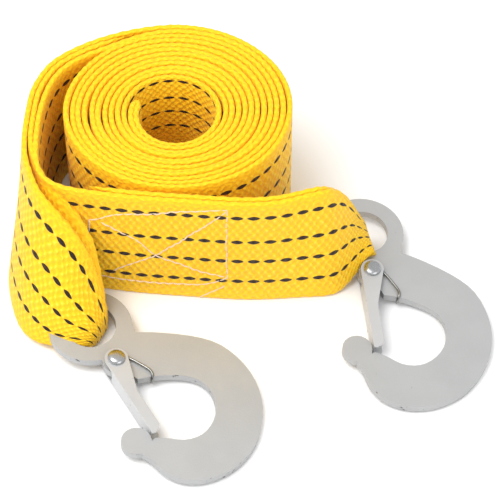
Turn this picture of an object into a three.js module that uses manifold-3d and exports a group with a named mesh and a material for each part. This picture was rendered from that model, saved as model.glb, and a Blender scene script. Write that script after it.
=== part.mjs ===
// A tow strap: one length of yellow webbing wound double into a roll that stands on its edge,
// with a stamped steel snap hook sewn into a loop at each end.
// Millimetres. X runs to the right, Y runs away from the viewer, Z is up, and the floor is z = 0.
import * as THREE from 'three';
import { mergeVertices } from 'three/addons/utils/BufferGeometryUtils.js';
import Module from 'manifold-3d';

// Webbing
const STRAP_WIDTH = 60;
const STRAP_THICKNESS = 2;
const SEWN_THICKNESS = 2 * STRAP_THICKNESS; // the strand and its turned-back end, sewn together

// Roll: twelve layers of webbing between an oval bore and an oval outside
const ROLL_CENTRE = [-29.3, 21.2];
const ROLL_RADII = [39.6, 35.8];
const BORE_CENTRE = [-26.6, 20.6];
const BORE_RADII = [13.8, 15.0];
const ROLL_LAYERS = 12;
const GROOVE_DEPTH = 1.4; // how deep the line between two layers is cut into the roll's ends
const GROOVE_SHARE = 0.3; // the part of a layer's pitch that its groove takes
const ROLL_STEPS = 40;
const OUTER_GAP = 0.6; // between the roll and the strand round it, and between the two strands

// Hook: flat plate with an eye ring at one end and a throat at the other.
// Its own frame has the latch's rivet at 0,0 and the plate's middle plane at z = 0.
const PLATE_THICKNESS = 3.2;
const RING_CENTRE = [-10.2, 15.6];
const RING_RADIUS = 15.7;
const EYE_RADIUS = 9.6;
const KNUCKLE_RADIUS = 5;
const NOSE_RADIUS = 5.6;
const NOSE_ARC = [-68, -352]; // degrees, from the back round to the throat
const KNUCKLE_ARC = [-48, -145]; // from the throat to the ring
const RING_ARC = [-72, -354]; // from the knuckle to the back
const BACK = [ // outside of the hook from its neck round to its nose
  [6.7, 13.4], [15.2, 13.7], [27.7, 12.7], [37.5, 9.8], [45.4, 3.3], [51, -5.1], [53.9, -15], [53.5, -25.8],
  [50.2, -35.6], [43.4, -43.7], [34.8, -48.4], [26.1, -49.2], [19, -46.3], [13.9, -41.3], [10.6, -39.2],
];
const THROAT = [ // inside of the hook from its nose back to the rivet
  [14.2, -33.4], [15.2, -32.2], [19.5, -32.1], [26.1, -32.5], [32, -30], [35.8, -24.7], [37, -18], [35, -11.1],
  [30.4, -6.6], [23.9, -5], [14.7, -5.6], [8.1, -7.3],
];

// Latch: a channel folded from sheet, which turns on the rivet and closes on the nose
const LATCH_ANGLE = THREE.MathUtils.degToRad(-58.9);
const LATCH_SHEET = 0.9;
const LATCH_GAP = 1.6; // between the plate's face and the flange beside it
const LATCH_DISC_RADIUS = 4.4;
const DISC_TURN = 184; // degrees that the disc's edge runs before the flange's inner edge
const LATCH_REACH = 34.7; // from the rivet to the flange's tip
const WEB_REACH = 32.8; // from the rivet to the end of the channel's web
const FLANGE_WIDTH = 4.2;
const TAPER_END = 16; // where the flange's inner edge meets its straight part

// Rivet and spring
const RIVET_RADIUS = 2.3;
const RIVET_HEAD_RADIUS = 3.25;
const RIVET_HEAD_HEIGHT = 1.4;
const RIVET_TAIL_HEIGHT = 0.8;
const WIRE_DIAMETER = 1.0;
const WIRE_SIDES = 6;
const SPRING_COIL = [290, 61]; // degrees, clockwise from its hidden end to where its leg leaves the turn
const SPRING_EDGE = [13.5, -5.75]; // where the spring's leg turns down over the throat's edge
const CLEARANCE = 0.3; // between any two pieces that touch or run on each other

// Places
const FLOOR_GAP = 0.02;
const LEFT_HOOK_PLACE = [-49.4, -56];
const RIGHT_HOOK_PLACE = [46, -15.5];
const LEFT_HOOK_HEADING = 0;
const RIGHT_HOOK_HEADING = THREE.MathUtils.degToRad(-24.25);
const HOOK_LEAN = THREE.MathUtils.degToRad(4); // the hook rests on its rivet's tail and on its back

// Sizes that follow
const LAYER_PITCH = STRAP_THICKNESS + OUTER_GAP;
const HALF_PLATE = PLATE_THICKNESS / 2;
const CHANNEL_INSIDE = HALF_PLATE + LATCH_GAP;
const CHANNEL_OUTSIDE = CHANNEL_INSIDE + LATCH_SHEET;
const WEB_OUTER_FACE = LATCH_DISC_RADIUS;
const WEB_INNER_FACE = WEB_OUTER_FACE - LATCH_SHEET;
const WEB_START = Math.sqrt((KNUCKLE_RADIUS + CLEARANCE) ** 2 - WEB_INNER_FACE ** 2) + CLEARANCE;
const NOSE_OFFSET = WEB_OUTER_FACE + CLEARANCE + NOSE_RADIUS;
const NOSE_ALONG = WEB_REACH + 0.4;
const HOLE_RADIUS = RIVET_RADIUS + CLEARANCE;

const webbingMaterial = new THREE.MeshStandardMaterial({ color: 0xf7d21c, roughness: 0.85, metalness: 0 });
const hookMaterial = new THREE.MeshStandardMaterial({ color: 0xc9c9c4, roughness: 0.45, metalness: 0.9 });
const latchMaterial = new THREE.MeshStandardMaterial({ color: 0xd2d3d0, roughness: 0.4, metalness: 0.9 });
const rivetMaterial = new THREE.MeshStandardMaterial({ color: 0xb4b8ba, roughness: 0.25, metalness: 1 });
const springMaterial = new THREE.MeshStandardMaterial({ color: 0x8f908c, roughness: 0.35, metalness: 1 });

const wasm = await Module();
wasm.setup();

// A closed geometry as a solid that can be joined and cut
function solid(geometry) {
  const bare = new THREE.BufferGeometry();
  bare.setAttribute('position', geometry.getAttribute('position'));
  if (geometry.index) bare.setIndex(geometry.index);
  const merged = mergeVertices(bare, 1e-4);
  return new wasm.Manifold(new wasm.Mesh({
    numProp: 3,
    vertProperties: new Float32Array(merged.getAttribute('position').array),
    triVerts: new Uint32Array(merged.index.array),
  }));
}

// A solid back to a geometry
function geometryOf(body) {
  const mesh = body.getMesh();
  const geometry = new THREE.BufferGeometry();
  geometry.setAttribute('position', new THREE.BufferAttribute(Float32Array.from(mesh.vertProperties), 3));
  geometry.setIndex(new THREE.BufferAttribute(Uint32Array.from(mesh.triVerts), 1));
  geometry.computeVertexNormals();
  return geometry;
}

function namedMesh(name, geometry, material) {
  const mesh = new THREE.Mesh(geometry, material);
  mesh.name = name;
  return mesh;
}

// A flat outline made into a slab between two heights
function slab(shape, bottom, top) {
  const geometry = new THREE.ExtrudeGeometry(shape, { depth: top - bottom, bevelEnabled: false });
  geometry.translate(0, 0, bottom);
  return geometry;
}

// A closed skin over a grid of points: rows run along the piece, and each row is a closed ring
function skin(rows, closed) {
  const sides = rows[0].length;
  const position = rows.flat(2);
  const index = [];
  const quads = closed ? rows.length : rows.length - 1;
  for (let i = 0; i < quads; i += 1) {
    const next = (i + 1) % rows.length;
    for (let j = 0; j < sides; j += 1) {
      const k = (j + 1) % sides;
      index.push(i * sides + j, next * sides + j, next * sides + k);
      index.push(i * sides + j, next * sides + k, i * sides + k);
    }
  }
  if (!closed) {
    const last = (rows.length - 1) * sides;
    for (let j = 1; j < sides - 1; j += 1) {
      index.push(0, j, j + 1);
      index.push(last, last + j + 1, last + j);
    }
  }
  const geometry = new THREE.BufferGeometry();
  geometry.setAttribute('position', new THREE.Float32BufferAttribute(position, 3));
  geometry.setIndex(index);
  return geometry;
}

// A point of an oval, moved outwards by an offset
function ovalPoint(centre, radii, angle, offset = 0) {
  return [
    centre[0] + (radii[0] + offset) * Math.cos(angle),
    centre[1] + (radii[1] + offset) * Math.sin(angle),
  ];
}

// The roll: one turned ring whose ends have a groove between each two layers.
// A profile point is a share of the way from the bore to the outside, and a height.
function rollGeometry() {
  const top = [];
  for (let layer = 0; layer < ROLL_LAYERS; layer += 1) {
    const pitch = 1 / ROLL_LAYERS;
    const start = layer * pitch;
    if (layer > 0) top.push([start, STRAP_WIDTH - GROOVE_DEPTH]);
    top.push([start + (layer > 0 ? pitch * GROOVE_SHARE / 2 : 0), STRAP_WIDTH]);
    top.push([start + pitch * (layer < ROLL_LAYERS - 1 ? 1 - GROOVE_SHARE / 2 : 1), STRAP_WIDTH]);
  }
  const bottom = top.map(([share, height]) => [share, STRAP_WIDTH - height]).reverse();
  const profile = [...top, ...bottom].reverse();
  const rows = [];
  for (let step = 0; step < ROLL_STEPS; step += 1) {
    const angle = step / ROLL_STEPS * 2 * Math.PI;
    const inner = ovalPoint(BORE_CENTRE, BORE_RADII, angle);
    const outer = ovalPoint(ROLL_CENTRE, ROLL_RADII, angle);
    rows.push(profile.map(([share, height]) => [
      THREE.MathUtils.lerp(inner[0], outer[0], share),
      THREE.MathUtils.lerp(inner[1], outer[1], share),
      height,
    ]));
  }
  return skin(rows, true);
}

// A strand on edge: a wall of webbing along a path in plan, with a thickness for each point
function strandGeometry(path) {
  const curve = new THREE.CatmullRomCurve3(path.map(([x, y, thick]) => new THREE.Vector3(x, y, thick)), false, 'centripetal');
  const points = curve.getPoints(path.length * 3);
  const rows = points.map((point, i) => {
    const before = points[Math.max(i - 1, 0)];
    const after = points[Math.min(i + 1, points.length - 1)];
    const length = Math.hypot(after.x - before.x, after.y - before.y);
    const side = [(after.y - before.y) / length, -(after.x - before.x) / length];
    const half = point.z / 2;
    const outer = [point.x + side[0] * half, point.y + side[1] * half];
    const inner = [point.x - side[0] * half, point.y - side[1] * half];
    return [[...outer, 0], [...outer, STRAP_WIDTH], [...inner, STRAP_WIDTH], [...inner, 0]];
  });
  return skin(rows, false);
}

// A strand's end where it falls over into the hook's eye: each row gives its four corners,
// outer face low and high, then inner face high and low, smoothed along the strand.
function loopGeometry(rows) {
  const rails = [0, 1, 2, 3].map((corner) => new THREE.CatmullRomCurve3(
    rows.map((row) => new THREE.Vector3(...row[corner])), false, 'centripetal').getPoints(rows.length * 2));
  const smooth = rails[0].map((_, i) => rails.map((rail) => [
    rail[i].x, rail[i].y, THREE.MathUtils.clamp(rail[i].z, 0, STRAP_WIDTH),
  ]));
  return skin(smooth, false);
}

// A point of the hook's frame given along the latch and outwards from the rivet's centre line
function latchPoint(along, outward) {
  return [
    along * Math.cos(LATCH_ANGLE) + outward * Math.sin(LATCH_ANGLE),
    along * Math.sin(LATCH_ANGLE) - outward * Math.cos(LATCH_ANGLE),
  ];
}

// Points of an arc from one angle to another, in degrees, clockwise where the second is smaller
function arcPoints(centre, radius, from, to, steps) {
  const points = [];
  for (let step = 0; step <= steps; step += 1) {
    const angle = THREE.MathUtils.degToRad(from + (to - from) * step / steps);
    points.push(new THREE.Vector2(centre[0] + radius * Math.cos(angle), centre[1] + radius * Math.sin(angle)));
  }
  return points;
}

function circle(centre, radius, steps) {
  return arcPoints(centre, radius, 0, 360, steps).slice(0, -1);
}

function splinePoints(points, steps) {
  return new THREE.SplineCurve(points.map((point) => new THREE.Vector2(...point))).getPoints(steps);
}

// The hook's outline: back, nose, throat, knuckle round the rivet, and eye ring
function plateShape() {
  const nose = latchPoint(NOSE_ALONG, NOSE_OFFSET);
  const shape = new THREE.Shape([
    ...splinePoints(BACK, 36),
    ...arcPoints(nose, NOSE_RADIUS, ...NOSE_ARC, 16),
    ...splinePoints(THROAT, 30),
    ...arcPoints([0, 0], KNUCKLE_RADIUS, ...KNUCKLE_ARC, 7),
    ...arcPoints(RING_CENTRE, RING_RADIUS, ...RING_ARC, 36),
  ]);
  shape.holes.push(new THREE.Path(circle(RING_CENTRE, EYE_RADIUS, 36)), new THREE.Path(circle([0, 0], HOLE_RADIUS, 16)));
  return shape;
}

// One flange of the latch: a disc round the rivet that runs into a narrow straight strip
function flangeShape() {
  const inner = WEB_OUTER_FACE - FLANGE_WIDTH;
  const outward = THREE.MathUtils.radToDeg(LATCH_ANGLE) - 90;
  const strip = [
    [TAPER_END, inner], [LATCH_REACH - 2.6, inner], [LATCH_REACH - 1.2, inner + 0.9],
    [LATCH_REACH, WEB_INNER_FACE - 0.4], [LATCH_REACH - 0.4, WEB_OUTER_FACE],
  ];
  const shape = new THREE.Shape([
    ...arcPoints([0, 0], LATCH_DISC_RADIUS, outward, outward - DISC_TURN, 16),
    ...strip.map(([along, out]) => new THREE.Vector2(...latchPoint(along, out))),
  ]);
  shape.holes.push(new THREE.Path(circle([0, 0], HOLE_RADIUS, 16)));
  return shape;
}

// The latch: two flanges, one above and one below the plate, joined by a web on the outside
function latchGeometry() {
  const web = new THREE.Shape([
    new THREE.Vector2(...latchPoint(WEB_START, WEB_INNER_FACE)), new THREE.Vector2(...latchPoint(WEB_REACH, WEB_INNER_FACE)),
    new THREE.Vector2(...latchPoint(WEB_REACH, WEB_OUTER_FACE)), new THREE.Vector2(...latchPoint(WEB_START, WEB_OUTER_FACE)),
  ]);
  const upper = solid(slab(flangeShape(), CHANNEL_INSIDE, CHANNEL_OUTSIDE));
  const lower = solid(slab(flangeShape(), -CHANNEL_OUTSIDE, -CHANNEL_INSIDE));
  const joined = upper.add(lower).add(solid(slab(web, -CHANNEL_OUTSIDE, CHANNEL_OUTSIDE)));
  return geometryOf(joined);
}

// The rivet: a shank through latch and plate, with a domed head above and a flat one below
function rivetGeometry() {
  const seat = CHANNEL_OUTSIDE + CLEARANCE;
  const profile = [
    [0, -seat - RIVET_TAIL_HEIGHT], [RIVET_HEAD_RADIUS - 0.3, -seat - RIVET_TAIL_HEIGHT], [RIVET_HEAD_RADIUS, -seat - 0.3],
    [RIVET_HEAD_RADIUS, -seat], [RIVET_RADIUS, -seat], [RIVET_RADIUS, seat], [RIVET_HEAD_RADIUS, seat],
  ];
  const domeSteps = 4;
  for (let step = 1; step < domeSteps; step += 1) {
    const turn = step / domeSteps * Math.PI / 2;
    profile.push([RIVET_HEAD_RADIUS * Math.cos(turn), seat + RIVET_HEAD_HEIGHT * Math.sin(turn)]);
  }
  profile.push([0, seat + RIVET_HEAD_HEIGHT]);
  const geometry = new THREE.LatheGeometry(profile.map(([r, z]) => new THREE.Vector2(r, z)), 20);
  geometry.rotateX(Math.PI / 2);
  return geometryOf(solid(geometry));
}

// A wire along a line of points, with a section of flat sides that bisects each bend
function wireGeometry(points, radius) {
  const across = new THREE.Vector3(0, 0, 1);
  const rows = points.map((point, i) => {
    const before = points[Math.max(i - 1, 0)];
    const after = points[Math.min(i + 1, points.length - 1)];
    const tangent = after.clone().sub(before).normalize();
    across.addScaledVector(tangent, -across.dot(tangent)).normalize();
    const side = tangent.clone().cross(across);
    const row = [];
    for (let k = 0; k < WIRE_SIDES; k += 1) {
      const turn = 2 * Math.PI * k / WIRE_SIDES;
      row.push(point.clone().addScaledVector(across, radius * Math.cos(turn)).addScaledVector(side, radius * Math.sin(turn)).toArray());
    }
    return row;
  });
  return geometryOf(solid(skin(rows.reverse(), false)));
}

// The spring: a turn of wire round the rivet on the plate, with a leg that hooks over the throat's edge
function springGeometry() {
  const wire = WIRE_DIAMETER / 2;
  const coil = HOLE_RADIUS + wire;
  const onPlate = HALF_PLATE + CLEARANCE + wire;
  const edge = SPRING_EDGE[1] - CLEARANCE - wire; // the wire's middle where it passes down the throat's edge
  const bend = 1.05;
  const coilSteps = 8;
  const bendSteps = 3;
  const points = [];
  for (let step = 0; step <= coilSteps; step += 1) {
    const angle = THREE.MathUtils.degToRad(THREE.MathUtils.lerp(SPRING_COIL[0], SPRING_COIL[1], step / coilSteps));
    points.push(new THREE.Vector3(coil * Math.cos(angle), coil * Math.sin(angle), onPlate));
  }
  points.push(new THREE.Vector3(SPRING_EDGE[0] - 1, SPRING_EDGE[1] + 2.3, onPlate));
  points.push(new THREE.Vector3(SPRING_EDGE[0] - 0.2, SPRING_EDGE[1] + 1.4, onPlate));
  for (let step = 0; step <= bendSteps; step += 1) {
    const turn = step / bendSteps * Math.PI / 2;
    points.push(new THREE.Vector3(SPRING_EDGE[0], edge + bend * (1 - Math.sin(turn)), onPlate - bend * (1 - Math.cos(turn))));
  }
  points.push(new THREE.Vector3(SPRING_EDGE[0] - 0.2, edge, -HALF_PLATE));
  return wireGeometry(points, wire);
}

// A hook with its latch, rivet and spring, set on the floor
function hookAssembly(side, place, heading) {
  const lean = new THREE.Group();
  lean.rotation.y = HOOK_LEAN;
  lean.add(namedMesh(`hook_${side}`, slab(plateShape(), -HALF_PLATE, HALF_PLATE), hookMaterial));
  lean.add(namedMesh(`latch_${side}`, latchGeometry(), latchMaterial));
  lean.add(namedMesh(`rivet_${side}`, rivetGeometry(), rivetMaterial));
  lean.add(namedMesh(`spring_${side}`, springGeometry(), springMaterial));
  const assembly = new THREE.Group();
  assembly.add(lean);
  assembly.rotation.z = heading;
  assembly.updateMatrixWorld(true);
  const lowest = new THREE.Box3().setFromObject(assembly, true).min.z;
  assembly.position.set(place[0], place[1], FLOOR_GAP - lowest);
  assembly.updateMatrixWorld(true);
  return assembly;
}

// The room that a hook needs in the webbing: its eye ring, its neck and its rivet joint, a little larger
function hookRoom(assembly) {
  const room = CLEARANCE + 0.1;
  const reach = HALF_PLATE + room;
  const ring = new THREE.Shape(circle(RING_CENTRE, RING_RADIUS + room, 36));
  ring.holes.push(new THREE.Path(circle(RING_CENTRE, EYE_RADIUS - room, 36)));
  const neck = new THREE.Shape([
    new THREE.Vector2(RING_CENTRE[0] + RING_RADIUS - 1, RING_CENTRE[1] + 6), new THREE.Vector2(RING_CENTRE[0] + EYE_RADIUS + 1, RING_CENTRE[1]),
    new THREE.Vector2(RING_CENTRE[0], RING_CENTRE[1] - EYE_RADIUS - 1), new THREE.Vector2(-KNUCKLE_RADIUS - 4, -1),
    new THREE.Vector2(-1, -KNUCKLE_RADIUS - 1), new THREE.Vector2(30, -8), new THREE.Vector2(20, 16),
  ]);
  const joint = new THREE.Shape(circle([0, 0], LATCH_DISC_RADIUS + 1, 24));
  const above = CHANNEL_OUTSIDE + 30;
  const matrix = assembly.children[0].matrixWorld;
  return [slab(ring, -reach, reach), slab(neck, -reach, reach), slab(joint, -above, above)]
    .map((geometry) => solid(geometry.applyMatrix4(matrix)));
}

const leftHook = hookAssembly('left', LEFT_HOOK_PLACE, LEFT_HOOK_HEADING);
const rightHook = hookAssembly('right', RIGHT_HOOK_PLACE, RIGHT_HOOK_HEADING);

// Two strands wrap the roll from its right over its far side. The offset is from the roll's outside.
function wrap(firstLayer, fromDegree, toDegree) {
  const points = [];
  for (let degree = fromDegree; degree <= toDegree; degree += 20) {
    const angle = degree * Math.PI / 180;
    const sunk = degree === fromDegree ? LAYER_PITCH * firstLayer : 0;
    const offset = firstLayer * LAYER_PITCH - STRAP_THICKNESS / 2 - sunk;
    points.push([...ovalPoint(ROLL_CENTRE, ROLL_RADII, angle, offset), STRAP_THICKNESS]);
  }
  return points;
}

const innerStrand = [
  ...wrap(1, -70, 130),
  [-71.6, 38, STRAP_THICKNESS], [-76.2, 23, SEWN_THICKNESS], [-77.3, 8, SEWN_THICKNESS], [-77, -3, SEWN_THICKNESS],
  [-74.4, -10, SEWN_THICKNESS], [-68.5, -14.9, SEWN_THICKNESS], [-60.5, -17.3, SEWN_THICKNESS],
  [-51, -18.9, SEWN_THICKNESS], [-40, -19.8, SEWN_THICKNESS], [-28, -20.4, SEWN_THICKNESS],
  [-15, -20.9, SEWN_THICKNESS], [-1, -21, SEWN_THICKNESS], [13, -20.6, SEWN_THICKNESS],
];
const outerStrand = [
  ...wrap(2, -50, 130),
  [-75, 40, STRAP_THICKNESS], [-80.4, 24, SEWN_THICKNESS], [-81.6, 14, SEWN_THICKNESS],
];
const rightLoop = [
  [[12, -22.6, 0], [12, -22.6, 60], [12, -18.6, 60], [12, -18.6, 0]],
  [[21.4, -22.6, 0], [20.4, -20.4, 60], [20.4, -16.4, 60], [21.4, -18.6, 0]],
  [[30.2, -22.2, 0.2], [27, -18.6, 59], [27, -14.6, 58], [30.2, -17, 0.2]],
  [[35, -20.4, 1.2], [32, -12, 49], [30.5, -8, 46], [34.5, -12, 0.8]],
  [[40, -15.9, 5], [37.8, -1.5, 32], [36, 2.5, 25], [39, -10, 0.8]],
  [[45.5, -7.5, 10], [42, 6.5, 16], [41, 9, 3], [45, -7.5, 2]],
];
const leftLoop = [
  [[-83.6, 16, 0], [-83.6, 16, 60], [-79.6, 16, 60], [-79.6, 16, 0]],
  [[-90, 4, 0], [-83.4, 3, 60], [-79.4, 2, 60], [-86, 3, 0]],
  [[-92, -14, 0], [-80.5, -8, 60], [-76.5, -6.5, 60], [-88, -12, 0]],
  [[-89.2, -30, 0.3], [-74, -16, 56], [-71.5, -12.5, 54], [-85.5, -27, 0.3]],
  [[-83, -43, 1.5], [-64.5, -24, 47], [-63.5, -20.5, 43], [-81, -38, 0.4]],
  [[-73.4, -46.5, 6], [-56.5, -28.5, 27], [-58, -27, 18], [-73, -41, 0.4]],
  [[-60.5, -47.2, 10], [-53.6, -35.6, 12], [-53.6, -35, 1.6], [-60.5, -47.2, 1.2]],
];

// The webbing is one piece: the roll, the two strands round it, and the loop at each end
function webbingGeometry() {
  let webbing = solid(rollGeometry());
  [strandGeometry(innerStrand), strandGeometry(outerStrand), loopGeometry(rightLoop), loopGeometry(leftLoop)]
    .forEach((geometry) => {
      webbing = webbing.add(solid(geometry));
    });
  [...hookRoom(leftHook), ...hookRoom(rightHook)].forEach((room) => {
    webbing = webbing.subtract(room);
  });
  return geometryOf(webbing);
}

const towStrap = new THREE.Group();
towStrap.add(namedMesh('webbing', webbingGeometry(), webbingMaterial), leftHook, rightHook);

// The origin is under the middle of the whole part
const middle = new THREE.Box3().setFromObject(towStrap, true).getCenter(new THREE.Vector3());
towStrap.position.set(-middle.x, -middle.y, 0);
towStrap.updateMatrixWorld(true);

export default towStrap;
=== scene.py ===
"""Looks for a tow strap: yellow webbing wound double into a roll on its edge, and a snap hook at each end.

Shapes are drawn in millimetres in the drawing frame, X right, Y away from the viewer, Z up, and then
moved to the row frame, which is the same frame shifted in plan and in metres.
"""
import math

import bmesh
import bpy
import numpy as np
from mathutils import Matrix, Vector


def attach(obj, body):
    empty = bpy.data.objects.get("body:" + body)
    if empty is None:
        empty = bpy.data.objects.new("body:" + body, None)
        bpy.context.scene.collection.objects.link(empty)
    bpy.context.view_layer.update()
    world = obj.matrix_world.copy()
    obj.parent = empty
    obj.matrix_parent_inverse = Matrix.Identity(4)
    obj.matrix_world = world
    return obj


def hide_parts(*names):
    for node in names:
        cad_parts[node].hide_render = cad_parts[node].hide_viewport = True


bl_info = {
    "name": "Tow strap",
    "version": (1, 0, 0),
    "blender": (4, 5, 0),
    "location": "View3D > Sidebar > Tow strap",
    "description": "Makes a rolled tow strap with a snap hook at each end, and the stage round it",
    "category": "Object",
}

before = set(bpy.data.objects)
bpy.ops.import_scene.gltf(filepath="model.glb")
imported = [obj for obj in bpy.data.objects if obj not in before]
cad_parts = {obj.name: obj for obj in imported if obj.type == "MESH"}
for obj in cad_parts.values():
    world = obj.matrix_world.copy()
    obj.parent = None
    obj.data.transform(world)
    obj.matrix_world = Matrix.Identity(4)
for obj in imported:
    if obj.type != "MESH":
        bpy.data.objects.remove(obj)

# The drawing frame and the camera
DRAWING_MIDDLE = np.array([-0.786, -21.555, 0.0])
CAMERA_OFFSET = (0.0, -0.5361, 0.7379)
CAMERA_TARGET = (0.000786, 0.021555, 0.0)
CAMERA_LENS = 170.5

# Webbing, in millimetres
WIDTH = 60.0
THICKNESS = 2.0
LAYERS = 12
BORE_MIDDLE = np.array([-27.9, 19.9])
BORE_RADII = np.array([15.0, 14.9])
ROLL_MIDDLE = np.array([-27.9, 22.8])
ROLL_RADII = np.array([43.8, 39.0])
FOLD_TURN = 165.0  # where the inner fold is, in degrees round the roll
LAST_TURN = 2090.0  # how far the legs wind before they leave the roll, in degrees
ROLL_STEP = 1.0
STRAND_STEP = 1.3
SCALLOP = 4.6  # length of one scallop along a loose edge
ROLL_SCALLOP = 3.1
FLOOR_GAP = 0.02  # the webbing comes no lower than this
DASH_LINES = (0.0518, 0.0372, 0.0252, 0.0125)  # heights of the dash lines, in metres
# The dash lines stand closer to the edge in the bore. The pattern of the first height is drawn at the third,
# and each millimetre there shows the second number of millimetres of it.
BORE_LINES = (51.8, 1.523, 57.8)
BORE_TURN = 118.0  # length of webbing before the fold on which the lines are moved
BORE_BLEND = 14.0  # the first part of it, in which they move over
# Slow waves along the roll: height, length over which the wave's angle grows by one radian, and starting angle
RISE_WAVES = ((0.28, 41.0, 0.0), (0.22, 17.3, 1.0))
SWAY_WAVES = ((0.18, 23.0, 0.0), (0.1, 7.1, 0.0))
THICK_WAVES = ((0.05, 29.0, 0.0),)
INNER_TAIL_START = 118.0  # where each tail begins, along its strand from the roll
OUTER_TAIL_START = 20.0
TAIL_GAP = 2.15  # from a strand's middle surface to its tail's
PLAIN_TURNS = (14.0, 40.0, 66.0, 90.0)  # places of the points round a rounded edge, in degrees
ROLL_TURNS = (16.0, 52.0, 90.0)
TAIL_SHORTER = 6  # stations by which a tail ends before its strand does
TAIL_TAPER = (9.0, 0.3)  # length over which a tail grows to its thickness, and the thickness it starts with
RAIL_SHARES = (0.0, 0.5, 1.0)  # shares of the width at which a strand's rails run
FACE_STEPS = 16
EDGE_BAND = 1.2  # width of the band along each edge that follows the scallops

# Hook frames: rivet's middle on the plate's middle plane, heading, and the lean about the hook's own Y
HOOK_PLACES = {"left": (-49.4, -56.0, 5.413, 0.0), "right": (46.0, -15.5, 5.413, -24.25)}
HOOK_LEAN = math.radians(4.0)


def to_row(points):
    """Points of the drawing frame in the row frame, in metres."""
    return (np.asarray(points, float) - DRAWING_MIDDLE) / 1000.0


# Lines and grids


def spline(points, count=None, step=None):
    """A natural cubic spline over the distance along the points, with a count of points or at a step."""
    points = np.asarray(points, float)
    gaps = np.linalg.norm(np.diff(points, axis=0), axis=1)
    knots = np.concatenate([[0.0], np.cumsum(gaps)])
    count = count or max(2, int(round(knots[-1] / step)) + 1)
    return over_knots(knots, points, np.linspace(0.0, knots[-1], count))


def over_knots(knots, values, at):
    """Values between the knots: on each span a cubic that meets its neighbours with the same slope and bend.

    The bends at the knots come from one linear system, with none at the two ends.
    """
    knots = np.asarray(knots, float)
    values = np.asarray(values, float)
    size = len(knots)
    span = np.diff(knots)
    matrix = np.eye(size)
    right = np.zeros_like(values)
    inner = np.arange(1, size - 1)
    shape = (-1,) + (1,) * (values.ndim - 1)
    matrix[inner, inner - 1] = span[:-1]
    matrix[inner, inner] = 2.0 * (span[:-1] + span[1:])
    matrix[inner, inner + 1] = span[1:]
    slope = np.diff(values, axis=0) / span.reshape(shape)
    right[1:-1] = 6.0 * np.diff(slope, axis=0)
    bend = np.linalg.solve(matrix, right.reshape(size, -1)).reshape(values.shape)
    k = np.clip(np.searchsorted(knots, at, side="right") - 1, 0, size - 2)
    a = ((knots[k + 1] - at) / span[k]).reshape(shape)
    b = 1.0 - a
    reach = (span[k] ** 2 / 6.0).reshape(shape)
    curved = (a**3 - a) * bend[k] + (b**3 - b) * bend[k + 1]
    return a * values[k] + b * values[k + 1] + curved * reach


def along(points):
    """Distance along a line of points."""
    return np.concatenate([[0.0], np.cumsum(np.linalg.norm(np.diff(points, axis=0), axis=1))])


def unit(vectors):
    """The vectors at length 1."""
    return vectors / np.maximum(np.linalg.norm(vectors, axis=-1, keepdims=True), 1e-12)


def plan_normal(path):
    """The level direction to the right of a line in plan."""
    slope = np.gradient(path, axis=0)
    return unit(np.stack([slope[:, 1], -slope[:, 0]], axis=1))


def grid_quads(rows, ring):
    """Faces between the neighbouring rings of a grid whose rings are closed."""
    start = np.arange(rows - 1)[:, None] * ring
    j = np.arange(ring)[None, :]
    j2 = (j + 1) % ring
    corners = [start + j, start + ring + j, start + ring + j2, start + j2]
    return np.stack(corners, axis=-1).reshape(-1, 4)


def end_quads(ring, start, flip):
    """Faces that close a ring whose point k lies opposite point ring - 1 - k."""
    k = np.arange(ring // 2 - 1)
    quads = start + np.stack([k, k + 1, ring - 2 - k, ring - 1 - k], axis=-1)
    return quads[:, ::-1] if flip else quads


def volume(points, quads):
    """Six times the volume inside the faces, from the origin to each half of each face."""
    a, b, c, d = (points[quads[:, k]] for k in range(4))
    return np.einsum("ij,ij->", a, np.cross(b, c)) + np.einsum("ij,ij->", a, np.cross(c, d))


class Shells:
    """Closed grid shells that end up in one mesh, with the webbing's own length and width as their UV."""

    def __init__(self):
        self.points = []
        self.quads = []
        self.flat = []
        self.count = 0

    def add(self, grid, flat=None):
        """grid is rings of points in the drawing frame, and flat the length and width at each point."""
        rows, ring = grid.shape[:2]
        if flat is None:
            flat = np.zeros((rows, ring, 2))
        points = to_row(grid.reshape(-1, 3))
        ends = [end_quads(ring, 0, False), end_quads(ring, (rows - 1) * ring, True)]
        quads = np.concatenate([grid_quads(rows, ring)] + ends)
        middle = points.mean(0)
        if volume(points - middle, quads) < 0.0:
            quads = quads[:, ::-1]
        self.points.append(points)
        self.quads.append(quads + self.count)
        self.flat.append(flat.reshape(-1, 2))
        self.count += len(points)

    def build(self, name):
        """One mesh object of all the shells."""
        arrays = [np.concatenate(part) for part in (self.points, self.quads, self.flat)]
        return mesh_object(name, *arrays)


def mesh_object(name, points, faces, flat=None):
    """A smooth-shaded mesh from arrays of points, of faces and of each point's place on the flat piece."""
    mesh = bpy.data.meshes.new(name)
    mesh.from_pydata(points.tolist(), [], faces.tolist())
    if flat is not None:
        layer = mesh.uv_layers.new(name="flat")
        corners = np.zeros(len(mesh.loops), np.int32)
        mesh.loops.foreach_get("vertex_index", corners)
        layer.data.foreach_set("uv", flat[corners].astype(np.float32).ravel())
    mesh.polygons.foreach_set("use_smooth", np.ones(len(mesh.polygons), bool))
    mesh.update()
    made = bpy.data.objects.new(name, mesh)
    bpy.context.scene.collection.objects.link(made)
    return made


# Webbing


def half_profile(steps, turns, edge=1.0):
    """Half of the webbing's section from its lower edge to its upper edge.

    It says how far out and how high each point lies. The edges are quarter rounds, the face has even steps.
    """
    round_turn = np.radians(turns)
    low_out = np.sin(round_turn)
    low_high = edge * (1.0 - np.cos(round_turn))
    face = np.linspace(edge, WIDTH - edge, steps + 1)[1:-1]
    out = np.concatenate([low_out, np.ones(len(face)), low_out[::-1]])
    high = np.concatenate([low_high, face, WIDTH - low_high[::-1]])
    return out, high


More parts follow.
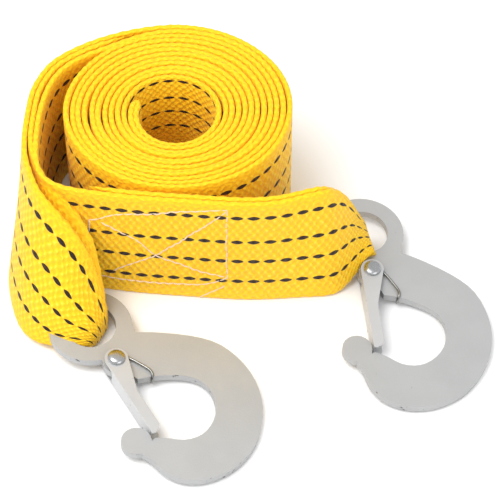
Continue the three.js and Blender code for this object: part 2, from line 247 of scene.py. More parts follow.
def webbing_grid(sheet, thickness, length, steps, scallop=SCALLOP, turns=PLAIN_TURNS):
    """Rings of the webbing's section along a sheet.

    sheet(heights) gives the middle surface as stations by heights. Each ring goes up one face and down the
    other, half the thickness from the middle surface along its normal. The edge rises and falls as a cosine
    of the length, once a scallop.
    """
    out, high = half_profile(steps, turns)
    middle = sheet(high)
    spread = np.gradient(middle, axis=0)
    rise = sheet(np.minimum(high + 0.5, WIDTH)) - sheet(np.maximum(high - 0.5, 0.0))
    normal = unit(np.cross(spread, rise))
    from_middle = high - WIDTH / 2
    near_edge = np.clip((np.abs(from_middle) - (WIDTH / 2 - EDGE_BAND)) / EDGE_BAND, 0.0, 1.0)
    near_edge = near_edge[None, :, None]
    wave = (0.5 + 0.5 * np.cos(2 * np.pi * length / scallop))[:, None, None]
    depth = 0.12 * scallop
    top = np.sign(from_middle)
    middle = middle - unit(rise) * (near_edge * (1.0 - wave) * depth) * top[None, :, None]
    half = thickness[:, None, None] / 2 * out[None, :, None] * (1.0 + 0.14 * near_edge * (wave - 0.6))
    ring = np.concatenate([middle + normal * half, (middle - normal * half)[:, ::-1]], axis=1)
    ring[..., 2] = np.maximum(ring[..., 2], FLOOR_GAP)
    cap = high + top * (1.0 - out) * EDGE_BAND
    across = np.concatenate([cap, cap[::-1]])
    flat = np.empty(ring.shape[:2] + (2,))
    flat[..., 0] = length[:, None] / 1000.0
    flat[..., 1] = across[None, :] / 1000.0
    return ring, flat


def wound(first_layer, turned):
    """Plan points of one leg of the roll.

    Each lies on the ray at its turn. Its layer number gives the share of the way from the bore's oval to the
    outer oval, and grows by one each half turn.
    """
    turned = np.asarray(turned, float)
    turn = np.radians(FOLD_TURN + turned)
    ray = np.stack([np.cos(turn), np.sin(turn)], axis=-1)
    inner = BORE_MIDDLE + BORE_RADII * ray
    outer = ROLL_MIDDLE + ROLL_RADII * ray
    share = ((first_layer + turned / 180.0 - 1.0) / LAYERS)[..., None]
    return inner + share * (outer - inner)


def layer_pitch(turned):
    """Distance between neighbouring layers on the ray at each turn."""
    turn = np.radians(FOLD_TURN + np.asarray(turned, float))
    ray = np.stack([np.cos(turn), np.sin(turn)], axis=-1)
    gap = ROLL_MIDDLE + ROLL_RADII * ray - BORE_MIDDLE - BORE_RADII * ray
    return np.linalg.norm(gap, axis=-1) / LAYERS


def roll_path():
    """The roll's line in plan and the webbing's thickness at each point of it.

    It runs from where the inner strand leaves the roll in to the fold, round a small bulge and out again.
    """
    turned = np.arange(0.0, LAST_TURN + 1.0, 3.0)
    first = wound(0.5, turned)
    second = wound(1.5, turned)
    thick = np.minimum(THICKNESS, 0.93 * layer_pitch(turned))
    back = unit(first[0] - first[1])
    middle = (first[0] + second[0]) / 2
    shoulder = (first[0] - middle) * 0.75
    near, far = back * 0.95, back * 1.45
    bulge = np.array([middle + shoulder + near, middle + far, middle - shoulder + near])
    plan = np.concatenate([first[::-1], bulge, second])
    depth = np.concatenate([thick[::-1], [thick[0]] * 3, thick])
    return np.column_stack([plan, depth])


def upright(plan):
    """A sheet that stands on its edge over a line in plan."""
    def sheet(heights):
        rows = np.empty((len(plan), len(heights), 3))
        rows[..., :2] = plan[:, None, :]
        rows[..., 2] = heights[None, :]
        return rows
    return sheet


def between_rails(rails, shares):
    """A sheet through rails along it, with a cubic spline across them over their shares of the width."""
    def sheet(heights):
        across = over_knots(shares, np.moveaxis(rails, 1, 0), np.asarray(heights) / WIDTH)
        return np.moveaxis(across, 0, 1)
    return sheet


# Plan of the two strands beyond the roll, and then rows across each loop: lower edge, middle and upper edge
INNER_STRAND = [
    (-55.2, 51.0), (-64.6, 46.0), (-71.9, 38.9), (-75.4, 31.4), (-77.4, 23.0), (-78.4, 14.0), (-78.6, 5.0),
    (-77.9, -3.2), (-75.2, -9.9), (-69.0, -14.4), (-60.7, -16.6), (-51.1, -18.2), (-40.0, -19.7),
    (-28.0, -20.8), (-15.0, -21.9), (-1.0, -22.7),
]
FRONT_PART = 8  # the row of INNER_STRAND from which the strand runs along the front
OUTER_STRAND = [
    (-38.6, 61.0), (-44.8, 59.6), (-51.6, 57.5), (-57.8, 55.0), (-63.6, 52.0), (-69.8, 47.9), (-74.6, 43.4),
]
OUTER_LOOP = [
    [(-78.2, 38.8, 0), (-77.8, 38.8, 30), (-77.5, 38.8, 60)],
    [(-82.4, 31.4, 0), (-81.3, 31.3, 30), (-80.6, 31.2, 60)],
    [(-86.4, 21.5, 0), (-83.8, 21.7, 30), (-82.0, 21.8, 60)],
    [(-89.0, 11.5, 0), (-85.6, 11.3, 30), (-82.7, 11.2, 60)],
    [(-90.4, 2.0, 0), (-86.2, 1.4, 30), (-82.2, 0.8, 60)],
    [(-91.2, -8.0, 0), (-86.2, -8.0, 30), (-79.8, -8.0, 60)],
    [(-90.9, -18.0, 0), (-84.8, -17.4, 30), (-76.4, -16.0, 59.6)],
    [(-88.6, -29.0, 0.4), (-81.3, -26.2, 28), (-70.6, -21.4, 55.5)],
    [(-85.3, -37.6, 1.0), (-76.2, -32.9, 25), (-64.0, -25.0, 47.5)],
    [(-80.2, -43.3, 2.0), (-70.8, -38.1, 21), (-59.6, -27.0, 38.0)],
    [(-73.6, -46.2, 3.4), (-65.4, -41.6, 16), (-56.6, -29.0, 26.6)],
    [(-67.0, -48.0, 5.6), (-60.8, -43.2, 12.5), (-54.2, -33.0, 14.5)],
    [(-61.6, -47.8, 5.2), (-57.8, -43.4, 8.2), (-53.8, -35.8, 8.4)],
    [(-60.6, -46.8, 1.8), (-57.2, -42.8, 2.0), (-54.2, -36.8, 1.8)],
]
INNER_LOOP = [
    [(12.4, -22.2, 0), (12.4, -21.9, 30), (12.4, -21.3, 60)],
    [(21.4, -21.6, 0), (20.8, -20.6, 30), (20.3, -18.9, 60)],
    [(29.8, -21.0, 0.2), (28.6, -18.8, 29.4), (27.2, -16.2, 59.2)],
    [(34.8, -19.0, 1.4), (33.8, -14.4, 27), (32.2, -11.0, 52.5)],
    [(39.4, -15.2, 4.6), (37.6, -9.6, 24), (36.6, -6.2, 40.0)],
    [(43.0, -11.6, 8.0), (41.0, -5.8, 19), (40.2, -2.6, 27.0)],
    [(46.2, -8.8, 9.4), (44.0, -3.2, 13.8), (43.0, 0.6, 16.0)],
    [(47.4, -8.0, 5.0), (44.9, -1.6, 7.4), (43.4, 3.2, 7.0)],
    [(47.2, -7.6, 1.6), (44.9, -1.6, 1.8), (43.2, 3.4, 1.8)],
]
# How far the tail's upper edge stands off the outer strand's, at shares of the way along the left strand
OUTER_TAIL_SHARES = [0.0, 0.52, 0.62, 0.70, 0.78, 0.85, 0.91, 0.96, 1.0]
OUTER_TAIL_STAND = [
    (0, 0, 0), (0, 0, 0), (1.0, 1.6, 0), (2.2, 3.6, -0.8), (2.8, 4.6, -1.6), (3.2, 3.4, -2.2),
    (2.2, 0.4, -2.6), (0.6, -1.2, -1.0), (0, 0, 0),
]


def strand_rails(plan_rows, loop_rows):
    """Rows of lower, middle and upper points: upright over the strand's plan, then as its loop has them."""
    rows = [[(x, y, 0.0), (x, y, WIDTH / 2), (x, y, WIDTH)] for x, y in plan_rows]
    return np.array(rows + list(loop_rows), float)


def rails_along(rows, step):
    """Rails through the rows, with stations about a step apart along the middle rail."""
    size = len(rows)
    knots = along(rows[:, 1])
    at = np.linspace(0.0, knots[-1], int(round(knots[-1] / step)) + 1)
    return over_knots(knots, rows.reshape(size, -1), at).reshape(len(at), 3, 3)


def shifted(rails, distance):
    """Rails moved along the normal of the sheet between them."""
    slope = np.gradient(rails, axis=0)
    rise = np.gradient(rails, axis=1)
    return rails + unit(np.cross(slope, rise)) * distance


def waves(length, table):
    """The sum of the sine waves of a table along a length."""
    return sum(height * np.sin(length / reach + start) for height, reach, start in table)


def settled(length):
    """1 along the roll's length and 0 at its two ends, where the strands go on from it."""
    return np.clip(np.minimum(length, length[-1] - length) / 60.0, 0.0, 1.0)


def webbing_shells():
    """The roll with both its legs, the two strands beyond it, and the turned-back tail inside each loop."""
    shells = Shells()
    path = roll_path()
    line = spline(path, step=ROLL_STEP)
    length = along(line[:, :2])
    inside = settled(length)
    sway = waves(length, SWAY_WAVES) * inside
    plan = line[:, :2] + plan_normal(line[:, :2]) * sway[:, None]
    thick = line[:, 2] * (1.03 + waves(length, THICK_WAVES))
    grid, flat = webbing_grid(upright(plan), thick, length, 2, ROLL_SCALLOP, ROLL_TURNS)
    upper = np.clip((grid[..., 2] - WIDTH / 2) / (WIDTH / 2), 0.0, 1.0)
    grid[..., 2] += (waves(length, RISE_WAVES) * inside)[:, None] * upper
    fold = along(path[:, :2])[(len(path) - 1) // 2]
    bore = np.clip((fold + 4.0 - length) / 4.0, 0.0, 1.0)
    bore = bore * np.clip((length - fold + BORE_TURN) / BORE_BLEND, 0.0, 1.0)
    drawn, spread, there = BORE_LINES
    seen = drawn + spread * (flat[..., 1] * 1000.0 - there)
    flat[..., 1] += bore[:, None] * (seen / 1000.0 - flat[..., 1])
    shells.add(grid, flat)
    strands = (
        (path[:2, :2][::-1], INNER_STRAND, INNER_LOOP, 0.0, -1.0, INNER_TAIL_START, False),
        (path[-2:, :2], OUTER_STRAND, OUTER_LOOP, length[-1], 1.0, OUTER_TAIL_START, True),
    )
    for start, plan_rows, loop_rows, joined, sense, tail_start, stands_off in strands:
        rows = strand_rails([tuple(point) for point in start] + plan_rows, loop_rows)
        rails = rails_along(rows, STRAND_STEP)
        run = along(rails[:, 1])
        past = run - np.linalg.norm(start[1] - start[0])
        thick = THICKNESS * (1.0 + 0.03 * np.exp(-np.maximum(past, 0.0) / 20.0))
        scallops = past + joined / ROLL_SCALLOP % 1.0 * SCALLOP
        grid, flat = webbing_grid(between_rails(rails, RAIL_SHARES), thick, scallops, FACE_STEPS)
        flat[..., 0] = (joined + sense * past[:, None]) / 1000.0
        shells.add(grid, flat)
        tail = shifted(rails, -TAIL_GAP)
        if stands_off:
            table = np.array(OUTER_TAIL_STAND, float)
            share = run / run[-1]
            away = np.stack([np.interp(share, OUTER_TAIL_SHARES, table[:, k]) for k in range(3)], axis=1)
            tail[:, 2] += away
            tail[:, 1] += away * 0.3
        kept = run > tail_start
        kept[-TAIL_SHORTER:] = False
        tail, run = tail[kept], run[kept]
        thick = np.interp(run - run[0], [0.0, TAIL_TAPER[0]], [TAIL_TAPER[1], THICKNESS])
        grid, flat = webbing_grid(between_rails(tail, RAIL_SHARES), thick, run + SCALLOP / 2, FACE_STEPS)
        shells.add(grid, flat)
    return shells


# Shader helpers


class Wire:
    """A shader socket used as a number in Python. Each operator adds a Math node."""

    def __init__(self, shader, socket):
        self.shader = shader
        self.socket = socket

    def _math(self, operation, *values):
        return self.shader.math(operation, *values)

    def __add__(self, other):
        return self._math("ADD", self, other)

    def __radd__(self, other):
        return self._math("ADD", other, self)

    def __sub__(self, other):
        return self._math("SUBTRACT", self, other)

    def __rsub__(self, other):
        return self._math("SUBTRACT", other, self)

    def __mul__(self, other):
        return self._math("MULTIPLY", self, other)

    def __rmul__(self, other):
        return self._math("MULTIPLY", other, self)

    def __truediv__(self, other):
        return self._math("DIVIDE", self, other)


class Shader:
    """One material's nodes, made from Python."""

    def __init__(self, name):
        self.material = bpy.data.materials.new(name)
        self.material.use_nodes = True
        self.tree = self.material.node_tree
        self.tree.nodes.clear()

    def node(self, kind, settings=None, inputs=None):
        """A node of a type, with its settings set first and then the values or links of its sockets."""
        made = self.tree.nodes.new(kind)
        for key, value in (settings or {}).items():
            setattr(made, key, value)
        for key, value in (inputs or {}).items():
            self.put(made.inputs[key], value)
        return made

    def put(self, socket, value):
        """Links a socket to another one, or sets its value."""
        if isinstance(value, Wire):
            self.tree.links.new(value.socket, socket)
        elif isinstance(value, bpy.types.NodeSocket):
            self.tree.links.new(value, socket)
        elif hasattr(value, "__len__") and len(value) == 3 and socket.type == "RGBA":
            socket.default_value = (*value, 1.0)
        else:
            socket.default_value = value

    def math(self, operation, *values):
        """A Math node's result."""
        made = self.node("ShaderNodeMath", {"operation": operation}, dict(enumerate(values)))
        return Wire(self, made.outputs[0])

    def step(self, value, low, high):
        """0 below low, 1 above high and smooth between them."""
        made = self.node("ShaderNodeMapRange", {"interpolation_type": "SMOOTHSTEP"},
                         {"Value": value, "From Min": low, "From Max": high})
        return Wire(self, made.outputs["Result"])

    def mix(self, share, first, second):
        """Two colours mixed."""
        inputs = {"Factor": share, 6: first, 7: second}
        return self.node("ShaderNodeMix", {"data_type": "RGBA"}, inputs).outputs[2]

    def noise(self, scale, detail, vector, rough=0.5):
        """Noise at a place, with its scale in waves a metre."""
        inputs = {"Scale": scale, "Detail": detail, "Roughness": rough, "Vector": vector}
        made = self.node("ShaderNodeTexNoise", None, inputs)
        return Wire(self, made.outputs["Fac"])

    def object_place(self):
        """The place on the object, in metres."""
        return self.node("ShaderNodeTexCoord").outputs["Object"]

    def bump(self, height, strength, distance):
        """A normal tilted by a height."""
        inputs = {"Height": height, "Strength": strength, "Distance": distance}
        return self.node("ShaderNodeBump", None, inputs).outputs["Normal"]

    def surface(self, **inputs):
        """The material's Principled surface. Underscores in the names stand for the sockets' spaces."""
        inputs = {key.replace("_", " "): value for key, value in inputs.items()}
        made = self.node("ShaderNodeBsdfPrincipled", None, inputs)
        self.node("ShaderNodeOutputMaterial", None, {"Surface": made.outputs[0]})
        return self.material


# The weave, in metres
FLECK_WIDTH = 0.0026
ARCH_STEP = 0.0024
DASH_HALF = (0.41, 0.00125)  # half of a dash: along the webbing as a share of the pitch, and across it


def webbing_finish(sizes):
    """Yellow woven polyester: staggered flecks, four lines of dark dashes and soft arches at the edges."""
    s = Shader("yellow_webbing")
    place = s.object_place()
    flat_place = s.node("ShaderNodeUVMap", {"uv_map": "flat"}).outputs[0]
    parts = s.node("ShaderNodeSeparateXYZ", None, {0: flat_place})
    grain = s.noise(700.0, 3.0, place)
    cloud = s.noise(60.0, 2.0, place)
    wobble = s.noise(330.0, 1.0, place)
    run = Wire(s, parts.outputs[0])
    across = Wire(s, parts.outputs[1])
    pitch = sizes.dash_pitch
    bent = across + (wobble - 0.5) * 0.0018
    jogged = run + (grain - 0.5) * 0.0010 + (wobble - 0.5) * 0.0022
    along_weave = s.math("COSINE", jogged * (2 * math.pi / (pitch / 2)))
    fleck = along_weave * s.math("COSINE", bent * (math.pi / FLECK_WIDTH))
    arch = s.math("COSINE", run * (2 * math.pi / pitch)) * 0.0007 + bent
    arches = s.math("COSINE", arch * (2 * math.pi / ARCH_STEP))
    margin = s.step(s.math("ABSOLUTE", across - 0.03), 0.0236, 0.0262)
    weave = fleck * (0.85 - margin * 0.45) + arches * margin * 0.2
    nearest = None
    for line in DASH_LINES:
        away = s.math("ABSOLUTE", across - line)
        nearest = away if nearest is None else s.math("MINIMUM", nearest, away)
    turn = s.math("ABSOLUTE", s.math("FRACT", run / pitch + 100.0) - 0.5)
    lens = s.math("POWER", turn / DASH_HALF[0], 1.7) + s.math("POWER", nearest / DASH_HALF[1], 1.5)
    lens = lens + (grain - 0.5) * 0.35
    dash = 1 - s.step(lens, 0.74, 1.0)
    # Painted highlight: a reddish-brown glint along the middle of each dash line, in patches where the grain
    # is high.
    dash_highlight = (1 - s.step(nearest, 0.0001, 0.0004)) * s.step(grain, 0.5, 0.62) * 0.5
    # Painted light and shade of the weave: the threads' crowns get the plain yellow, and the hollows between
    # them get the deep yellow as painted shade.
    lit = s.step(weave + (grain - 0.5) * 1.1, -0.8, 0.7)
    yellow = s.mix(lit, sizes.yellow_deep, sizes.yellow)
    yellow = s.mix(s.step(cloud, 0.4, 0.8) * 0.15, yellow, sizes.yellow_deep)
    # Painted highlight: the tops of the threads made lighter, as where light catches them.
    yellow = s.mix(s.step(weave + (grain - 0.5) * 0.8, 0.45, 1.0) * 0.6, yellow, sizes.yellow_highlight)
    # The dashes' dark colour with the painted reddish-brown highlight mixed in.
    dark = s.mix(dash_highlight, sizes.dash_colour, (0.12, 0.045, 0.02))
    colour = s.mix(dash, yellow, dark)
    height = s.step(weave, -0.8, 0.9) * 0.8 + grain * 0.45 + dash * 0.55
    return s.surface(Base_Color=colour, Roughness=0.55 + 0.2 * grain, Specular_IOR_Level=0.3,
                     Sheen_Weight=0.08, Sheen_Roughness=0.5, Normal=s.bump(height, 0.7, 0.0007))


def thread_finish():
    """Pale sewing thread with its twist."""
    s = Shader("cream_thread")
    inputs = {"Scale": 900.0, "Vector": s.object_place()}
    twist = s.node("ShaderNodeTexWave", {"bands_direction": "DIAGONAL"}, inputs)
    twist = Wire(s, twist.outputs["Fac"])
    colour = s.mix(twist, (0.70, 0.49, 0.34), (0.90, 0.72, 0.55))
    return s.surface(Base_Color=colour, Roughness=0.7, Sheen_Weight=0.2, Normal=s.bump(twist, 0.4, 0.0002))


def zinc_finish(name, colour, dark, rough, nick=1.0):
    """Satin zinc plate: fine speckle, faint clouds, and dark nicks where the cut edge shows."""
    s = Shader(name)
    place = s.object_place()
    speckle = s.noise(1500.0, 2.0, place)
    cloud = s.noise(70.0, 3.0, place)
    scratch = s.noise(260.0, 4.0, place, 0.7)
    facing = s.node("ShaderNodeTexCoord").outputs["Normal"]
    upward = Wire(s, s.node("ShaderNodeSeparateXYZ", None, {0: facing}).outputs[2])
    side = 1 - s.step(s.math("ABSOLUTE", upward), 0.35, 0.8)
    nicks = s.step(scratch, 0.63, 0.69) * side * nick
    specks = s.step(scratch, 0.69, 0.73) * 0.25
    tone = s.mix(s.step(cloud, 0.3, 0.7), colour, tuple(0.94 * c for c in colour))
    tone = s.mix(specks, tone, dark)
    tone = s.mix(nicks, tone, dark)
    roughness = rough + 0.12 * (cloud - 0.5) + 0.18 * (speckle - 0.5) + 0.2 * nicks
    height = speckle * 0.6 + cloud * 0.6 - nicks * 1.2
    return s.surface(Base_Color=tone, Metallic=0.5, Roughness=roughness,
                     Normal=s.bump(height, 0.22, 0.0003))


def bright_steel_finish(name, colour, rough):
    """Turned or drawn steel with fine marks."""
    s = Shader(name)
    place = s.object_place()
    fine = s.noise(1200.0, 3.0, place)
    cloud = s.noise(140.0, 2.0, place)
    tone = s.mix(s.step(cloud, 0.3, 0.7), colour, tuple(0.8 * c for c in colour))
    return s.surface(Base_Color=tone, Metallic=1.0, Roughness=rough + 0.16 * (fine - 0.5),
                     Normal=s.bump(fine, 0.12, 0.0002))


# Pieces


def dress(made, material, slot, body, *nodes):
    """Gives a piece its material, hides the CAD nodes it stands for and sets it on its body; slot is not used.
    """
    made.data.materials.clear()
    made.data.materials.append(material)
    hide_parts(*nodes)
    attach(made, body)


def copy_of_node(node, name, bevel, sharp=38.0):
    """A CAD node's own shape as a merged mesh with its edges rounded."""
    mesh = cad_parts[node].data.copy()
    mesh.name = name
    made = bpy.data.objects.new(name, mesh)
    bpy.context.scene.collection.objects.link(made)
    shape = bmesh.new()
    shape.from_mesh(mesh)
    bmesh.ops.remove_doubles(shape, verts=shape.verts, dist=1e-6)
    bmesh.ops.dissolve_limit(shape, angle_limit=math.radians(0.5), verts=shape.verts, edges=shape.edges)
    shape.to_mesh(mesh)
    shape.free()
    mesh.polygons.foreach_set("use_smooth", np.ones(len(mesh.polygons), bool))
    mesh.update()
    edge = made.modifiers.new("rounded_edges", "BEVEL")
    edge.width = bevel
    edge.segments = 3
    edge.limit_method = "ANGLE"
    edge.angle_limit = math.radians(sharp)
    even = made.modifiers.new("flat_faces", "WEIGHTED_NORMAL")
    even.weight = 100
    return made


def hook_axes(side):
    """Origin and axes of a hook's own frame in the drawing frame: a lean about its Y, then a turn about Z."""
    x, y, z, heading = HOOK_PLACES[side]
    turn = math.radians(heading)
    cos_lean, sin_lean = math.cos(HOOK_LEAN), math.sin(HOOK_LEAN)
    cos_turn, sin_turn = math.cos(turn), math.sin(turn)
    lean = np.array([[cos_lean, 0, sin_lean], [0, 1, 0], [-sin_lean, 0, cos_lean]])
    head = np.array([[cos_turn, -sin_turn, 0], [sin_turn, cos_turn, 0], [0, 0, 1]])
    return np.array([x, y, z]), head @ lean


def from_hook(side, points):
    """Points of a hook's own frame in the drawing frame."""
    origin, axes = hook_axes(side)
    return np.asarray(points, float) @ axes.T + origin


def turned_grid(profile, steps):
    """Rings of a profile of radius and height turned about the Z axis."""
    turn = np.linspace(0.0, 2 * np.pi, steps, endpoint=False)
    radius, height = np.asarray(profile, float).T
    grid = np.empty((len(radius), steps, 3))
    grid[..., 0] = radius[:, None] * np.cos(turn)
    grid[..., 1] = radius[:, None] * np.sin(turn)
    grid[..., 2] = height[:, None]
    return grid


TUBE_GUIDE = np.array([0.31, 0.52, 0.8])  # a direction along which no wire or thread runs


def tube_grid(line, radius, sides):
    """Rings of a round section along a line, each square to it and set out from one fixed direction."""
    slope = unit(np.gradient(line, axis=0))
    first = unit(np.cross(slope, TUBE_GUIDE))
    second = np.cross(slope, first)
    turn = np.linspace(0.0, 2 * np.pi, sides, endpoint=False)[None, :, None]
    return line[:, None] + radius * (first[:, None] * np.cos(turn) + second[:, None] * np.sin(turn))


# Radius and height along the rivet's side: tail and shank, and then the dome
RIVET_SHANK = [
    (0.02, -5.2), (2.6, -5.2), (3.0, -5.1), (3.22, -4.85), (3.25, -4.45), (2.3, -4.4), (2.3, 4.4),
    (3.2, 4.4),
]
RIVET_DOME = [
    (3.25, 4.62), (3.2, 4.86), (3.04, 5.1), (2.78, 5.34), (2.35, 5.56), (1.75, 5.72), (1.0, 5.8),
    (0.02, 5.82),
]


def rivet(side):
    """The rivet: its profile turned about the rivet's axis, with a low dome and a flatter tail."""
    profile = np.concatenate([np.array(RIVET_SHANK), spline(np.array(RIVET_DOME), count=22)])
    grid = turned_grid(profile, 48)
    shells = Shells()
    shells.add(from_hook(side, grid.reshape(-1, 3)).reshape(grid.shape))
    return shells.build("rivet_look_" + side)


# The spring in its hook's own frame: where its turn starts and ends, in degrees, and points along its leg
SPRING_COIL = (290.0, 61.0)
SPRING_RADIUS = 3.1
SPRING_HEIGHT = 2.4
SPRING_WIRE = 0.5
SPRING_LEG = [
    (6.2, 0.45, 2.4), (9.8, -1.7, 2.4), (12.3, -3.5, 2.4), (13.1, -4.5, 2.35), (13.45, -5.5, 2.1),
    (13.5, -6.3, 1.3), (13.45, -6.5, 0.2), (13.3, -6.55, -1.6),
]


def spring(side):
    """The spring: round wire that turns about the rivet, with a leg that bends over the throat's edge."""
    turn = np.radians(np.linspace(*SPRING_COIL, 16))
    height = np.full(len(turn), SPRING_HEIGHT)
    coil = np.column_stack([SPRING_RADIUS * np.cos(turn), SPRING_RADIUS * np.sin(turn), height])
    line = spline(np.concatenate([coil, np.array(SPRING_LEG)]), step=0.25)
    shells = Shells()
    shells.add(tube_grid(from_hook(side, line), SPRING_WIRE, 14))
    return shells.build("spring_look_" + side)


# Stitches on the front strand, as places along X and heights
STITCH_LINES = [
    [(-58.9, 43.4), (-59.6, 33.0), (-60.4, 20.0), (-59.8, 9.2)],
    [(-58.9, 43.4), (-55.2, 45.0), (-52.5, 47.0), (-39.9, 50.6), (-28.9, 53.1), (-18.0, 55.1),
     (-8.3, 56.3)],
    [(-8.3, 56.3), (-8.7, 36.0), (-8.6, 14.2)],
    [(-8.6, 14.2), (-17.5, 9.5), (-30.1, 8.6), (-41.5, 8.3), (-56.6, 9.1), (-59.8, 9.2)],
    [(-8.5, 55.6), (-14.5, 48.2), (-22.0, 40.0), (-29.5, 31.7), (-34.9, 26.2), (-42.9, 20.0),
     (-51.1, 13.9)],
    [(-54.5, 42.8), (-45.2, 36.9), (-39.1, 31.1), (-35.2, 26.2), (-27.9, 22.3), (-17.4, 17.4),
     (-8.6, 14.6)],
    [(-9.4, 9.2), (-14.4, 4.9), (-19.0, 0.9)],
]
STITCH = 3.6
THREAD_RADIUS = 0.27


def front_depth(x):
    """Y of the front strand's outer face at a place along X."""
    rows = np.array(sorted(INNER_STRAND[FRONT_PART:] + [(13.0, -21.8)]))
    return np.interp(x, rows[:, 0], rows[:, 1]) - THICKNESS / 2


def stitching():
    """Sewing thread: tubes that rise from the webbing's face and sink into it once for each stitch."""
    shells = Shells()
    for points in STITCH_LINES:
        line = spline(np.array(points, float), step=0.35)
        run = along(line)
        slack = 0.5 + 0.5 * np.sin(run / 7.3 + points[0][0])
        lift = -0.22 + (0.34 + 0.26 * slack) * np.abs(np.sin(np.pi * run / STITCH))
        line = line + 0.16 * np.stack([np.sin(run / 1.9), np.cos(run / 2.7)], axis=1)
        place = np.column_stack([line[:, 0], front_depth(line[:, 0]) - lift, line[:, 1]])
        shells.add(tube_grid(place, THREAD_RADIUS, 8))
    return shells.build("stitching")


# Operators and panel


def colour_property(name, description, default):
    """A colour in a group of sizes."""
    return bpy.props.FloatVectorProperty(
        name=name, description=description, subtype="COLOR", default=default)


class WebbingSizes(bpy.types.PropertyGroup):
    yellow: colour_property("Yellow", "Colour of the webbing", (0.985, 0.635, 0.008))
    # Deep yellow is painted shade between the threads, and also the darker random cloudy tone.
    yellow_deep: colour_property("Deep yellow", "Colour between the threads", (0.93, 0.49, 0.004))
    # Painted highlight on the tops of the threads.
    yellow_highlight: colour_property("Light yellow", "Colour on top of the threads", (1.0, 0.79, 0.10))
    dash_colour: colour_property("Dashes", "Colour of the dark tracer threads", (0.016, 0.007, 0.004))
    dash_pitch: bpy.props.FloatProperty(
        name="Dash pitch", description="Distance from one dash to the next", unit="LENGTH", default=0.006)


class SteelSizes(bpy.types.PropertyGroup):
    hook: colour_property("Hook", "Colour of the hooks' zinc plate", (0.46, 0.465, 0.465))
    latch: colour_property("Latch", "Colour of the latches", (0.57, 0.575, 0.58))
    rivet: colour_property("Rivet", "Colour of the rivets", (0.50, 0.51, 0.52))
    spring: colour_property("Spring", "Colour of the spring wire", (0.30, 0.30, 0.29))
    edge_rounding: bpy.props.FloatProperty(
        name="Edge rounding", description="Rounding of the plate's edges", unit="LENGTH", default=0.0004)


class TOWSTRAP_OT_webbing(bpy.types.Operator):
    """Makes the webbing with its roll, strands, loops and tails"""

    bl_idname = "towstrap.webbing"
    bl_label = "Webbing"

    def execute(self, context):
        sizes = context.scene.towstrap_webbing
        shells = webbing_shells()
        made = shells.build("webbing_look")
        dress(made, webbing_finish(sizes), "webbing", "strap", "webbing")
        thread = stitching()
        thread.data.materials.append(thread_finish())
        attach(thread, "strap")
        return {"FINISHED"}


class TOWSTRAP_OT_hooks(bpy.types.Operator):
    """Makes the two hooks from their plates"""

    bl_idname = "towstrap.hooks"
    bl_label = "Hooks"

    def execute(self, context):
        sizes = context.scene.towstrap_steel
        finish = zinc_finish("satin_zinc", tuple(sizes.hook), (0.05, 0.05, 0.05), 0.5)
        for side in HOOK_PLACES:
            made = copy_of_node("hook_" + side, "hook_look_" + side, sizes.edge_rounding)
            dress(made, finish, "hook_steel", "strap", "hook_" + side)
        return {"FINISHED"}


class TOWSTRAP_OT_latches(bpy.types.Operator):
    """Makes the two folded latches"""

    bl_idname = "towstrap.latches"
    bl_label = "Latches"

    def execute(self, context):
        sizes = context.scene.towstrap_steel
        finish = zinc_finish("latch_zinc", tuple(sizes.latch), (0.06, 0.06, 0.06), 0.4, 0.6)
        for side in HOOK_PLACES:
            made = copy_of_node("latch_" + side, "latch_look_" + side, sizes.edge_rounding / 2)
            dress(made, finish, "latch_steel", "latch_" + side, "latch_" + side)
        return {"FINISHED"}


class TOWSTRAP_OT_joints(bpy.types.Operator):
    """Makes the rivets and the springs"""

    bl_idname = "towstrap.joints"
    bl_label = "Rivets and springs"

    def execute(self, context):
        sizes = context.scene.towstrap_steel
        rivet_finish = bright_steel_finish("rivet_steel_look", tuple(sizes.rivet), 0.26)
        wire_finish = bright_steel_finish("spring_wire_look", tuple(sizes.spring), 0.3)
        for side in HOOK_PLACES:
            dress(rivet(side), rivet_finish, "rivet_steel", "strap", "rivet_" + side)
            dress(spring(side), wire_finish, "spring_wire", "strap", "spring_" + side)
        return {"FINISHED"}


FLOOR_REACH = 3.0
LIT_PLACE = (0.0, 0.0, 0.02)


def area_light(name, place, target, size, power):
    """A square light that shines on a target."""
    data = bpy.data.lights.new(name, "AREA")
    data.shape = "SQUARE"
    data.size = size
    data.energy = power
    made = bpy.data.objects.new(name, data)
    aim(made, place, target)
    bpy.context.scene.collection.objects.link(made)


def aim(made, place, target):
    """Puts a camera or light at a place and turns its -Z axis to the target."""
    made.location = place
    made.rotation_euler = (Vector(target) - Vector(place)).to_track_quat("-Z", "Y").to_euler()


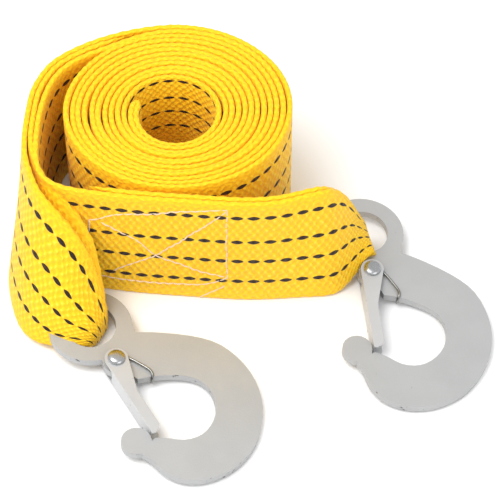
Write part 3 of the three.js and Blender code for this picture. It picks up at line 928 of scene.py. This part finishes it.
class TOWSTRAP_OT_stage(bpy.types.Operator):
    """Makes the camera, the floor and the light"""

    bl_idname = "towstrap.stage"
    bl_label = "Stage"

    def execute(self, context):
        scene = context.scene
        data = bpy.data.cameras.new("photo_camera")
        data.lens = CAMERA_LENS
        data.sensor_width = 36.0
        data.clip_start = 0.01
        camera = bpy.data.objects.new("photo_camera", data)
        place = tuple(t + o for t, o in zip(CAMERA_TARGET, CAMERA_OFFSET))
        aim(camera, place, CAMERA_TARGET)
        scene.collection.objects.link(camera)
        scene.camera = camera
        corners = FLOOR_REACH * np.array([(-1, -1, 0), (1, -1, 0), (1, 1, 0), (-1, 1, 0)])
        floor = mesh_object("floor", corners, np.array([[0, 1, 2, 3]]))
        s = Shader("pale_floor")
        floor.data.materials.append(s.surface(Base_Color=(0.93, 0.93, 0.93), Roughness=0.85))
        world = bpy.data.worlds.new("studio")
        world.use_nodes = True
        back = world.node_tree.nodes["Background"]
        back.inputs["Color"].default_value = (1.0, 1.0, 1.0, 1.0)
        back.inputs["Strength"].default_value = 0.8
        scene.world = world
        scene.view_settings.view_transform = "Standard"
        area_light("key", (-0.35, -0.15, 0.95), LIT_PLACE, 0.6, 7.6)
        area_light("fill", (0.55, -0.75, 0.55), LIT_PLACE, 0.7, 2.4)
        return {"FINISHED"}


class TOWSTRAP_PT_panel(bpy.types.Panel):
    """Lists the makers of the tow strap's pieces"""

    bl_idname = "TOWSTRAP_PT_panel"
    bl_label = "Tow strap"
    bl_space_type = "VIEW_3D"
    bl_region_type = "UI"
    bl_category = "Tow strap"

    def draw(self, context):
        for group in (context.scene.towstrap_webbing, context.scene.towstrap_steel):
            for key in group.__annotations__:
                self.layout.prop(group, key)
        for maker in MAKERS:
            self.layout.operator(maker.bl_idname)


MAKERS = (
    TOWSTRAP_OT_stage, TOWSTRAP_OT_webbing, TOWSTRAP_OT_hooks, TOWSTRAP_OT_latches, TOWSTRAP_OT_joints,
)
CLASSES = (WebbingSizes, SteelSizes, *MAKERS, TOWSTRAP_PT_panel)


def register():
    """Registers the classes and puts the two groups of sizes on the scene."""
    for kind in CLASSES:
        bpy.utils.register_class(kind)
    bpy.types.Scene.towstrap_webbing = bpy.props.PointerProperty(type=WebbingSizes)
    bpy.types.Scene.towstrap_steel = bpy.props.PointerProperty(type=SteelSizes)


def unregister():
    """Takes away what register() added."""
    del bpy.types.Scene.towstrap_steel
    del bpy.types.Scene.towstrap_webbing
    for kind in reversed(CLASSES):
        bpy.utils.unregister_class(kind)


def main():
    """Makes every piece in order."""
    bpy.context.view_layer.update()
    register()
    bpy.ops.towstrap.stage()
    bpy.ops.towstrap.webbing()
    bpy.ops.towstrap.hooks()
    bpy.ops.towstrap.latches()
    bpy.ops.towstrap.joints()


if __name__ == "__main__":
    main()
